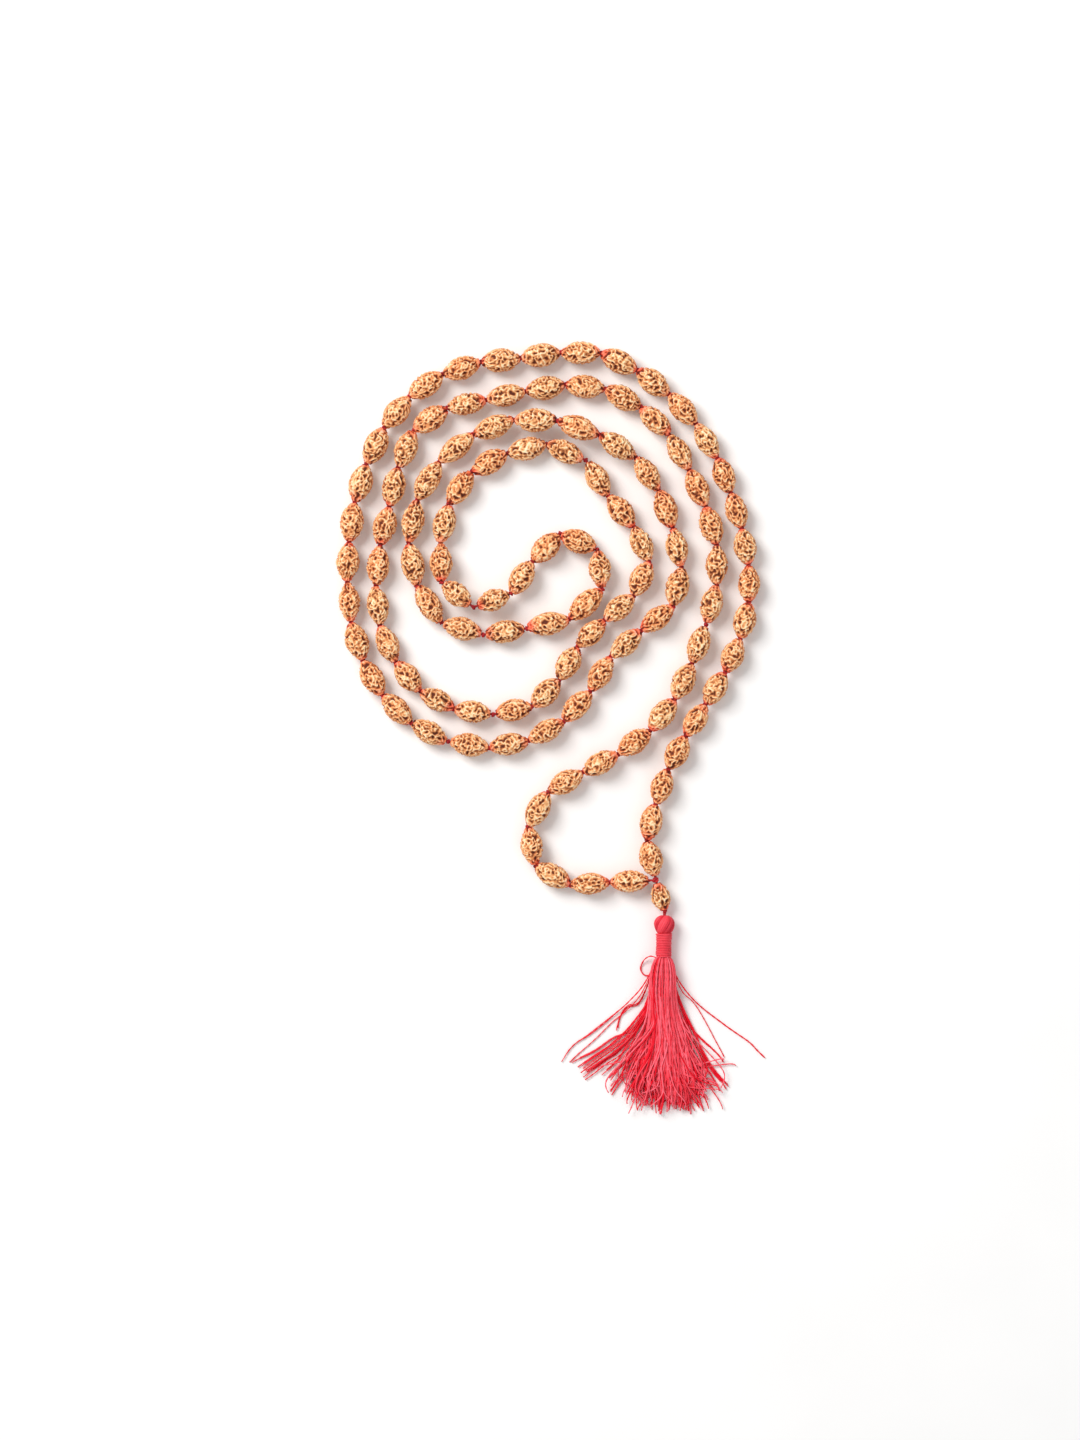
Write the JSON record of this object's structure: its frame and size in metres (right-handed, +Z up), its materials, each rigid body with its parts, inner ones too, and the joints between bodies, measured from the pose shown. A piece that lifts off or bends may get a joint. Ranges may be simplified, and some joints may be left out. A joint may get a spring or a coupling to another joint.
{
  "type": "mala prayer beads",
  "caption": "Knotted loop of olive-shaped seed prayer beads with a guru bead and a thread tassel, laid flat in a loose coil; the coil opens, the loop end lifts and the tassel swings.",
  "frame": {"origin": "on the table plane, straight below the knot that gathers the loop above the guru bead", "axes": "+Z up from the table; +Y from the tassel towards the coil, the long way of the laid mala; +X to the right when it is seen from above with the tassel towards the viewer"},
  "size_m": [0.1399, 0.2478, 0.012],
  "materials": {
    "seed_beads": "dry, grooved seed, satin on the ridges",
    "guru_seed": "dry, grooved seed, satin on the ridges",
    "red_cord": "twisted cotton cord, matt",
    "tassel_wrap": "wound embroidery thread, soft sheen",
    "tassel_thread": "loose embroidery thread, soft sheen"
  },
  "bodies": {
    "gathering": {"guru_cord": "red_cord"},
    "guru": {"guru_bead": "guru_seed"},
    "hanger": {"hanger_knot": "red_cord"},
    "tassel": {"tassel_cord": "red_cord", "head_knot": "tassel_wrap", "neck_wrap": "tassel_wrap", "thread_bundle": "tassel_thread", "stray_threads": "tassel_thread"},
    "link_out_01": {"beads_out_01": "seed_beads", "cord_out_01": "red_cord"},
    "link_out_02": {"beads_out_02": "seed_beads", "cord_out_02": "red_cord"},
    "link_out_03": {"beads_out_03": "seed_beads", "cord_out_03": "red_cord"},
    "link_out_04": {"beads_out_04": "seed_beads", "cord_out_04": "red_cord"},
    "link_out_05": {"beads_out_05": "seed_beads", "cord_out_05": "red_cord"},
    "link_out_06": {"beads_out_06": "seed_beads", "cord_out_06": "red_cord"},
    "link_out_07": {"beads_out_07": "seed_beads", "cord_out_07": "red_cord"},
    "link_out_08": {"beads_out_08": "seed_beads", "cord_out_08": "red_cord"},
    "link_out_09": {"beads_out_09": "seed_beads", "cord_out_09": "red_cord"},
    "link_out_10": {"beads_out_10": "seed_beads", "cord_out_10": "red_cord"},
    "link_out_11": {"beads_out_11": "seed_beads", "cord_out_11": "red_cord"},
    "link_out_12": {"beads_out_12": "seed_beads", "cord_out_12": "red_cord"},
    "link_out_13": {"beads_out_13": "seed_beads", "cord_out_13": "red_cord"},
    "link_hairpin": {"beads_hairpin": "seed_beads", "cord_hairpin": "red_cord"},
    "link_back_01": {"beads_back_01": "seed_beads", "cord_back_01": "red_cord"},
    "link_back_02": {"beads_back_02": "seed_beads", "cord_back_02": "red_cord"},
    "link_back_03": {"beads_back_03": "seed_beads", "cord_back_03": "red_cord"},
    "link_back_04": {"beads_back_04": "seed_beads", "cord_back_04": "red_cord"},
    "link_back_05": {"beads_back_05": "seed_beads", "cord_back_05": "red_cord"},
    "link_back_06": {"beads_back_06": "seed_beads", "cord_back_06": "red_cord"},
    "link_back_07": {"beads_back_07": "seed_beads", "cord_back_07": "red_cord"},
    "link_back_08": {"beads_back_08": "seed_beads", "cord_back_08": "red_cord"},
    "link_back_09": {"beads_back_09": "seed_beads", "cord_back_09": "red_cord"},
    "link_back_10": {"beads_back_10": "seed_beads", "cord_back_10": "red_cord"},
    "link_back_11": {"beads_back_11": "seed_beads", "cord_back_11": "red_cord"},
    "link_back_12": {"beads_back_12": "seed_beads", "cord_back_12": "red_cord"}
  },
  "joints": [
    {"name": "coil_open", "type": "hinge", "parent": "gathering", "child": "link_out_01", "pos_m": [0, 0, 0.00395], "axis": [0, 0, -1], "range_deg": [0, 20]},
    {"name": "flex_out_02", "type": "hinge", "parent": "link_out_01", "child": "link_out_02", "pos_m": [0.00955, 0.04597, 0.00395], "axis": [0, 0, -1], "range_deg": [0, 6.78]},
    {"name": "flex_out_03", "type": "hinge", "parent": "link_out_02", "child": "link_out_03", "pos_m": [0.02966, 0.08864, 0.00395], "axis": [0, 0, -1], "range_deg": [0, 13.43]},
    {"name": "flex_out_04", "type": "hinge", "parent": "link_out_03", "child": "link_out_04", "pos_m": [0.01948, 0.13462, 0.00395], "axis": [0, 0, -1], "range_deg": [0, 12.88]},
    {"name": "flex_out_05", "type": "hinge", "parent": "link_out_04", "child": "link_out_05", "pos_m": [-0.0176, 0.1681, 0.00395], "axis": [0, 0, -1], "range_deg": [0, 17.41]},
    {"name": "flex_out_06", "type": "hinge", "parent": "link_out_05", "child": "link_out_06", "pos_m": [-0.06801, 0.16142, 0.00395], "axis": [0, 0, -1], "range_deg": [0, 16.18]},
    {"name": "flex_out_07", "type": "hinge", "parent": "link_out_06", "child": "link_out_07", "pos_m": [-0.09593, 0.12052, 0.00395], "axis": [0, 0, -1], "range_deg": [0, 12.06]},
    {"name": "flex_out_08", "type": "hinge", "parent": "link_out_07", "child": "link_out_08", "pos_m": [-0.09357, 0.07007, 0.00395], "axis": [0, 0, -1], "range_deg": [0, 17.82]},
    {"name": "flex_out_09", "type": "hinge", "parent": "link_out_08", "child": "link_out_09", "pos_m": [-0.05315, 0.04225, 0.00395], "axis": [0, 0, -1], "range_deg": [0, 25.19]},
    {"name": "flex_out_10", "type": "hinge", "parent": "link_out_09", "child": "link_out_10", "pos_m": [-0.01431, 0.07126, 0.00395], "axis": [0, 0, -1], "range_deg": [0, 10.27]},
    {"name": "flex_out_11", "type": "hinge", "parent": "link_out_10", "child": "link_out_11", "pos_m": [0.00531, 0.11237, 0.00395], "axis": [0, 0, -1], "range_deg": [0, 24.79]},
    {"name": "flex_out_12", "type": "hinge", "parent": "link_out_11", "child": "link_out_12", "pos_m": [-0.03146, 0.1462, 0.00835], "axis": [0, 0, -1], "range_deg": [0, 20.98]},
    {"name": "flex_out_13", "type": "hinge", "parent": "link_out_12", "child": "link_out_13", "pos_m": [-0.0762, 0.12135, 0.00395], "axis": [0, 0, -1], "range_deg": [0, 24.96]},
    {"name": "loop_lift", "type": "hinge", "parent": "link_out_13", "child": "link_hairpin", "pos_m": [-0.05503, 0.07824, 0.00395], "axis": [0.3171, -0.8973, -0.307], "range_deg": [0, 70]},
    {"name": "flex_back_01", "type": "hinge", "parent": "gathering", "child": "link_back_01", "pos_m": [0, 0, 0.00395], "axis": [0, 0, -1], "range_deg": [0, 24.27]},
    {"name": "flex_back_02", "type": "hinge", "parent": "link_back_01", "child": "link_back_02", "pos_m": [-0.0408, 0.01719, 0.00395], "axis": [0, 0, -1], "range_deg": [-10.61, 0]},
    {"name": "flex_back_03", "type": "hinge", "parent": "link_back_02", "child": "link_back_03", "pos_m": [-0.00178, 0.04776, 0.00395], "axis": [0, 0, -1], "range_deg": [0, 13.34]},
    {"name": "flex_back_04", "type": "hinge", "parent": "link_back_03", "child": "link_back_04", "pos_m": [0.01946, 0.09413, 0.00395], "axis": [0, 0, -1], "range_deg": [0, 13.93]},
    {"name": "flex_back_05", "type": "hinge", "parent": "link_back_04", "child": "link_back_05", "pos_m": [0.0043, 0.142, 0.00395], "axis": [0, 0, -1], "range_deg": [0, 18.3]},
    {"name": "flex_back_06", "type": "hinge", "parent": "link_back_05", "child": "link_back_06", "pos_m": [-0.04157, 0.15597, 0.00395], "axis": [0, 0, -1], "range_deg": [0, 16.24]},
    {"name": "flex_back_07", "type": "hinge", "parent": "link_back_06", "child": "link_back_07", "pos_m": [-0.08216, 0.13164, 0.00395], "axis": [0, 0, -1], "range_deg": [0, 18.38]},
    {"name": "flex_back_08", "type": "hinge", "parent": "link_back_07", "child": "link_back_08", "pos_m": [-0.08801, 0.08125, 0.00395], "axis": [0, 0, -1], "range_deg": [0, 20.29]},
    {"name": "flex_back_09", "type": "hinge", "parent": "link_back_08", "child": "link_back_09", "pos_m": [-0.05187, 0.05287, 0.00395], "axis": [0, 0, -1], "range_deg": [0, 26.14]},
    {"name": "flex_back_10", "type": "hinge", "parent": "link_back_09", "child": "link_back_10", "pos_m": [-0.01632, 0.08287, 0.00395], "axis": [0, 0, -1], "range_deg": [0, 15.89]},
    {"name": "flex_back_11", "type": "hinge", "parent": "link_back_10", "child": "link_back_11", "pos_m": [-0.01514, 0.12262, 0.00395], "axis": [0, 0, -1], "range_deg": [0, 28.84]},
    {"name": "flex_back_12", "type": "hinge", "parent": "link_back_11", "child": "link_back_12", "pos_m": [-0.05872, 0.13031, 0.00395], "axis": [0, 0, -1], "range_deg": [0, 38.06]},
    {"name": "guru_spin", "type": "hinge", "parent": "gathering", "child": "guru", "pos_m": [0, 0, 0.00395], "axis": [0.2751, -0.9593, -0.0631], "continuous": true},
    {"name": "tassel_swing", "type": "hinge", "parent": "gathering", "child": "hanger", "pos_m": [0.00283, -0.00988, 0.0033], "axis": [0, 0, 1], "range_deg": [-32, 32]},
    {"name": "tassel_lift", "type": "hinge", "parent": "hanger", "child": "tassel", "pos_m": [0.00283, -0.00988, 0.0033], "axis": [-0.9997, 0.0262, 0], "range_deg": [0, 65]}
  ],
  "couplings": [
    {"joint": "flex_out_02", "follows": "coil_open", "ratio": 0.33796},
    {"joint": "flex_out_03", "follows": "coil_open", "ratio": 0.67041},
    {"joint": "flex_out_04", "follows": "coil_open", "ratio": 0.64276},
    {"joint": "flex_out_05", "follows": "coil_open", "ratio": 0.86961},
    {"joint": "flex_out_06", "follows": "coil_open", "ratio": 0.80793},
    {"joint": "flex_out_07", "follows": "coil_open", "ratio": 0.60196},
    {"joint": "flex_out_08", "follows": "coil_open", "ratio": 0.88998},
    {"joint": "flex_out_09", "follows": "coil_open", "ratio": 1.2584},
    {"joint": "flex_out_10", "follows": "coil_open", "ratio": 0.51247},
    {"joint": "flex_out_11", "follows": "coil_open", "ratio": 1.2384},
    {"joint": "flex_out_12", "follows": "coil_open", "ratio": 1.0482},
    {"joint": "flex_out_13", "follows": "coil_open", "ratio": 1.2471},
    {"joint": "flex_back_01", "follows": "coil_open", "ratio": 1.2127},
    {"joint": "flex_back_02", "follows": "coil_open", "ratio": -0.52967},
    {"joint": "flex_back_03", "follows": "coil_open", "ratio": 0.66593},
    {"joint": "flex_back_04", "follows": "coil_open", "ratio": 0.69536},
    {"joint": "flex_back_05", "follows": "coil_open", "ratio": 0.91391},
    {"joint": "flex_back_06", "follows": "coil_open", "ratio": 0.81098},
    {"joint": "flex_back_07", "follows": "coil_open", "ratio": 0.91773},
    {"joint": "flex_back_08", "follows": "coil_open", "ratio": 1.0133},
    {"joint": "flex_back_09", "follows": "coil_open", "ratio": 1.3059},
    {"joint": "flex_back_10", "follows": "coil_open", "ratio": 0.79347},
    {"joint": "flex_back_11", "follows": "coil_open", "ratio": 1.4409},
    {"joint": "flex_back_12", "follows": "coil_open", "ratio": 1.9019}
  ]
}
